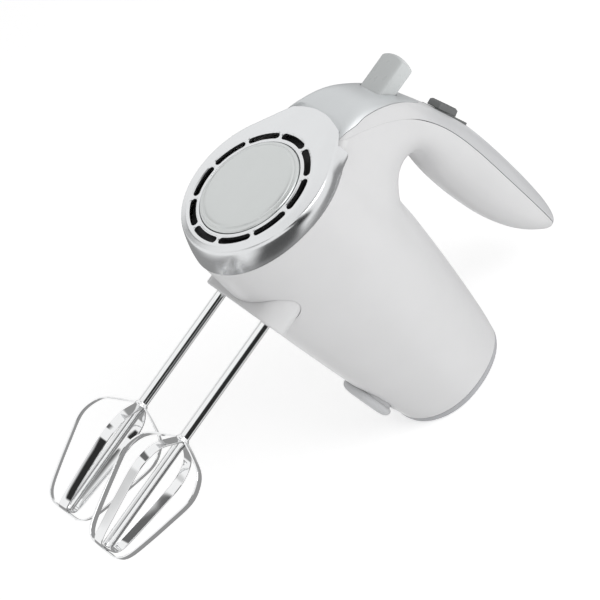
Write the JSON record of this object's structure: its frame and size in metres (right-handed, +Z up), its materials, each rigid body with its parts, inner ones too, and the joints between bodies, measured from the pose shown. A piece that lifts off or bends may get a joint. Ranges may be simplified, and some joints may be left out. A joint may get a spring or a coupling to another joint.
{
  "type": "hand mixer",
  "caption": "Handheld electric mixer with an open-ended handle, an eject button, a speed slider and removable chromed whisk beaters, parked on its heel.",
  "frame": {"origin": "centre of the flat heel on which the mixer is parked", "axes": "+Z up from the heel towards the badge, +X from the beaters towards the handle, +Y to the mixer's right"},
  "size_m": [0.3186, 0.0931, 0.207],
  "materials": {
    "shell_white": "smooth white moulded plastic with a soft gloss",
    "light_grey": "light grey moulded plastic, satin",
    "satin_silver": "silver painted plastic, satin metallic",
    "control_grey": "mid grey moulded plastic, satin",
    "beater_chrome": "polished chromed steel",
    "steel": "plain steel",
    "lamination": "stacked electrical steel",
    "copper": "enamelled copper",
    "bronze": "sintered bronze",
    "nylon": "natural nylon",
    "carbon": "carbon",
    "board_green": "green circuit board",
    "yellow_film": "film capacitor",
    "black_plastic": "black moulded plastic",
    "wire_red": "insulated wire"
  },
  "bodies": {
    "housing": {"motor_housing": "shell_white", "handle_cover": "light_grey", "top_panel": "satin_silver", "front_cap": "satin_silver", "badge_disc": "satin_silver", "heel_cover": "light_grey", "bowl_rest_foot": "light_grey", "beater_port": "shell_white", "cord_gland": "control_grey", "cord_clamp": "nylon", "handle_screws": "steel", "heel_screws": "steel", "gearbox_base": "nylon", "gearbox_cover": "nylon", "gearbox_screws": "steel", "spindle_bushes": "bronze", "front_bearing": "bronze", "rear_bearing": "bronze", "rear_bracket": "steel", "stator_core": "lamination", "field_coils": "copper", "stator_screws": "steel", "brush_holders": "nylon", "brushes": "carbon", "brush_springs": "steel", "control_board": "board_green", "suppressor": "yellow_film", "switch_block": "black_plastic", "switch_contacts": "copper", "detent_spring": "steel", "motor_leads": "wire_red", "slider_bezel": "control_grey", "eject_spring": "steel"},
    "armature": {"motor_shaft": "steel", "worm": "steel", "armature_core": "lamination", "armature_winding": "copper", "commutator": "copper", "cooling_fan": "nylon"},
    "ejector": {"eject_button": "control_grey", "eject_fork": "nylon", "fork_pins": "steel"},
    "slider": {"speed_slider": "control_grey"},
    "left_drive": {"left_spindle": "steel", "left_worm_wheel": "nylon", "left_beater_clip": "steel"},
    "right_drive": {"right_spindle": "steel", "right_worm_wheel": "nylon", "right_beater_clip": "steel"},
    "left_beater": {"left_beater_shaft": "beater_chrome", "left_outer_loop": "beater_chrome", "left_inner_loop": "beater_chrome"},
    "right_beater": {"right_beater_shaft": "beater_chrome", "right_outer_loop": "beater_chrome", "right_inner_loop": "beater_chrome"}
  },
  "joints": [
    {"name": "armature_spin", "type": "hinge", "parent": "housing", "child": "armature", "pos_m": [-0.00975, 0, 0.10505], "axis": [-0.1478, 0, 0.989], "continuous": true},
    {"name": "left_drive_spin", "type": "hinge", "parent": "housing", "child": "left_drive", "pos_m": [-0.01773, -0.022, 0.15845], "axis": [0.989, 0, 0.1478], "continuous": true},
    {"name": "right_drive_spin", "type": "hinge", "parent": "housing", "child": "right_drive", "pos_m": [-0.01773, 0.022, 0.15845], "axis": [0.989, 0, 0.1478], "continuous": true},
    {"name": "eject_press", "type": "slide", "parent": "housing", "child": "ejector", "axis": [-0.989, 0, -0.1478], "range_m": [0, 0.009], "stiffness_N_per_m": 500, "springref_m": -0.003, "deforming": ["eject_spring"]},
    {"name": "left_beater_release", "type": "slide", "parent": "left_drive", "child": "left_beater", "axis": [-0.989, 0, -0.1478], "range_m": [0, 0.009]},
    {"name": "right_beater_release", "type": "slide", "parent": "right_drive", "child": "right_beater", "axis": [-0.989, 0, -0.1478], "range_m": [0, 0.009]},
    {"name": "speed_slide", "type": "slide", "parent": "housing", "child": "slider", "axis": [0.3665, 0, -0.9304], "range_m": [-0.004, 0.01]}
  ],
  "couplings": [
    {"joint": "left_drive_spin", "follows": "armature_spin", "ratio": 0.033333},
    {"joint": "right_drive_spin", "follows": "armature_spin", "ratio": -0.033333},
    {"joint": "left_beater_release", "follows": "eject_press", "ratio": 1},
    {"joint": "right_beater_release", "follows": "eject_press", "ratio": 1}
  ]
}
